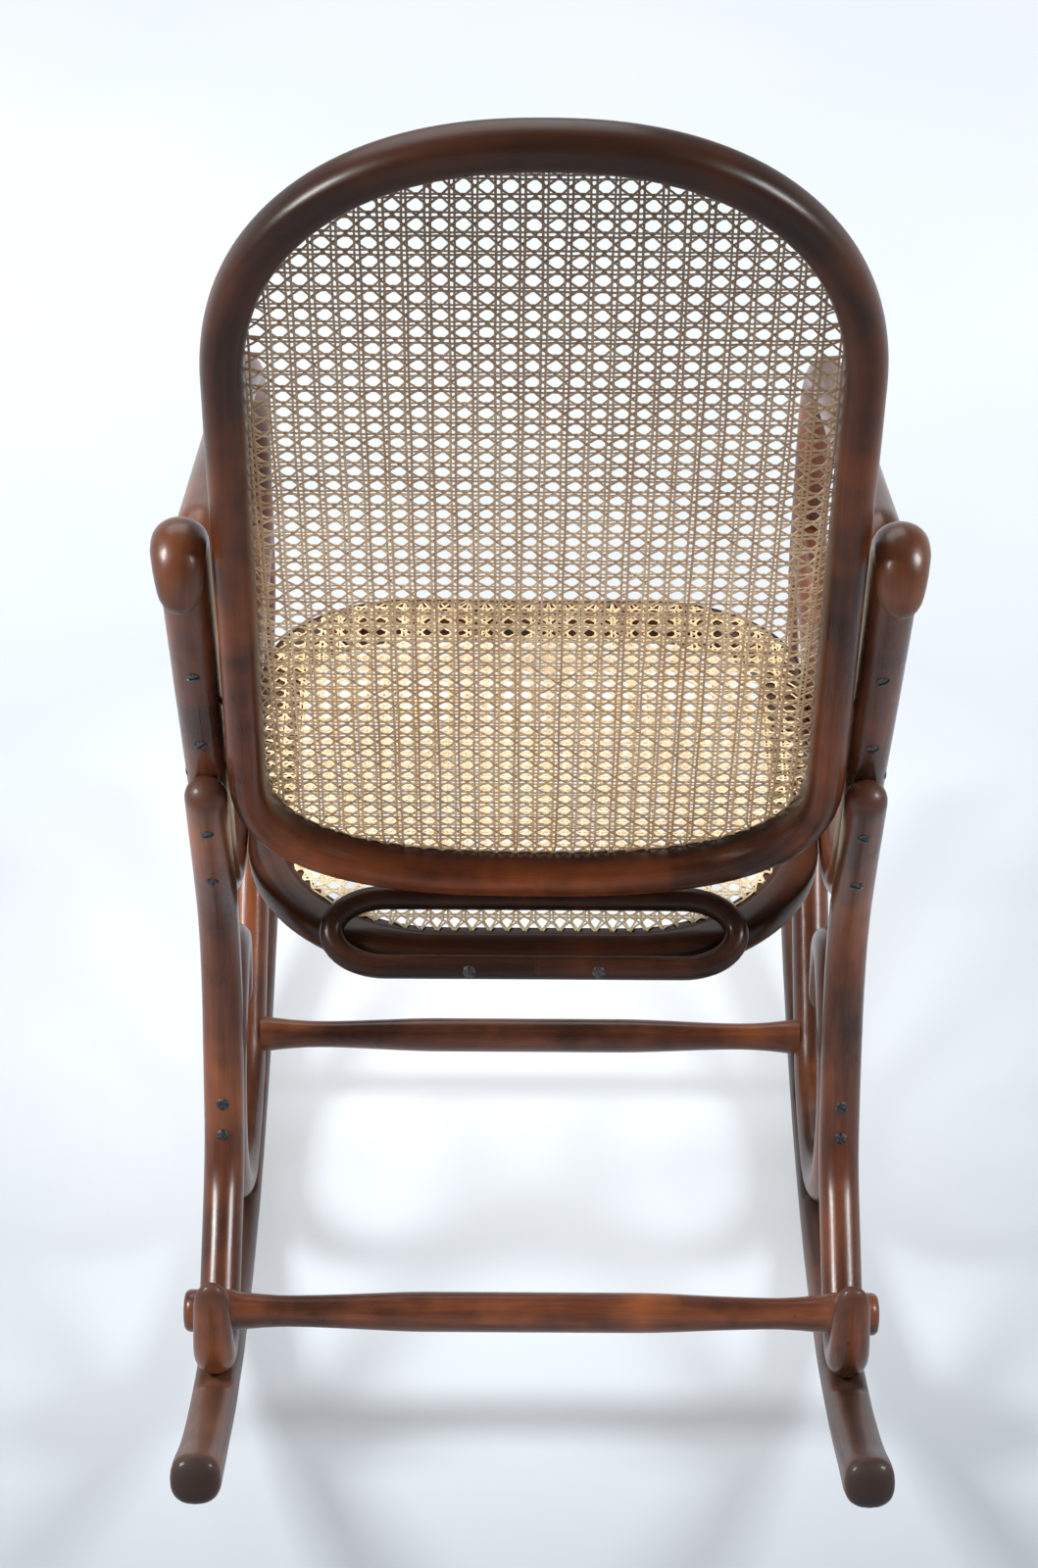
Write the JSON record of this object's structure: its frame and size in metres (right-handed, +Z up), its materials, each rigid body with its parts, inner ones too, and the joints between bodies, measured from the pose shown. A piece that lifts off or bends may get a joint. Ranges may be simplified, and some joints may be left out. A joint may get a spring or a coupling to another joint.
{
  "type": "rocking chair",
  "caption": "Bentwood rocking chair with scrolled arms, curved runners, turned stretchers, an oval link ring and hand-caned seat and back.",
  "frame": {"origin": "on the floor, under the middle of the bounding box", "axes": "+Z is up, the sitter faces -Y, +X is at the sitter's left hand"},
  "size_m": [0.488, 0.8784, 1.0431],
  "materials": {
    "stained_wood": "reddish-brown stain under a worn gloss polish",
    "frame_wood": "dark brown stain under a worn gloss polish",
    "cane": "aged natural rattan cane",
    "screw_steel": "dark oxidised steel"
  },
  "bodies": {
    "root": {"runner_left": "stained_wood", "rear_leg_left": "stained_wood", "upright_left": "stained_wood", "arm_scroll_left": "stained_wood", "runner_right": "stained_wood", "rear_leg_right": "stained_wood", "upright_right": "stained_wood", "arm_scroll_right": "stained_wood", "front_stretcher": "stained_wood", "rear_stretcher": "stained_wood", "back_link_ring": "stained_wood", "back_frame": "frame_wood", "seat_frame": "frame_wood", "back_cane": "cane", "seat_cane": "cane", "arm_screw_left_1": "screw_steel", "arm_screw_left_2": "screw_steel", "leg_screw_left_1": "screw_steel", "leg_screw_left_2": "screw_steel", "loop_screw_left_1": "screw_steel", "loop_screw_left_2": "screw_steel", "seat_screw_left_1": "screw_steel", "seat_screw_left_2": "screw_steel", "back_screw_left_1": "screw_steel", "back_screw_left_2": "screw_steel", "runner_screw_left_1": "screw_steel", "runner_screw_left_2": "screw_steel", "front_screw_left": "screw_steel", "ring_screw_low_left": "screw_steel", "ring_screw_top_left": "screw_steel", "arm_screw_right_1": "screw_steel", "arm_screw_right_2": "screw_steel", "leg_screw_right_1": "screw_steel", "leg_screw_right_2": "screw_steel", "loop_screw_right_1": "screw_steel", "loop_screw_right_2": "screw_steel", "seat_screw_right_1": "screw_steel", "seat_screw_right_2": "screw_steel", "back_screw_right_1": "screw_steel", "back_screw_right_2": "screw_steel", "runner_screw_right_1": "screw_steel", "runner_screw_right_2": "screw_steel", "front_screw_right": "screw_steel", "ring_screw_low_right": "screw_steel", "ring_screw_top_right": "screw_steel"}
  },
  "joints": []
}
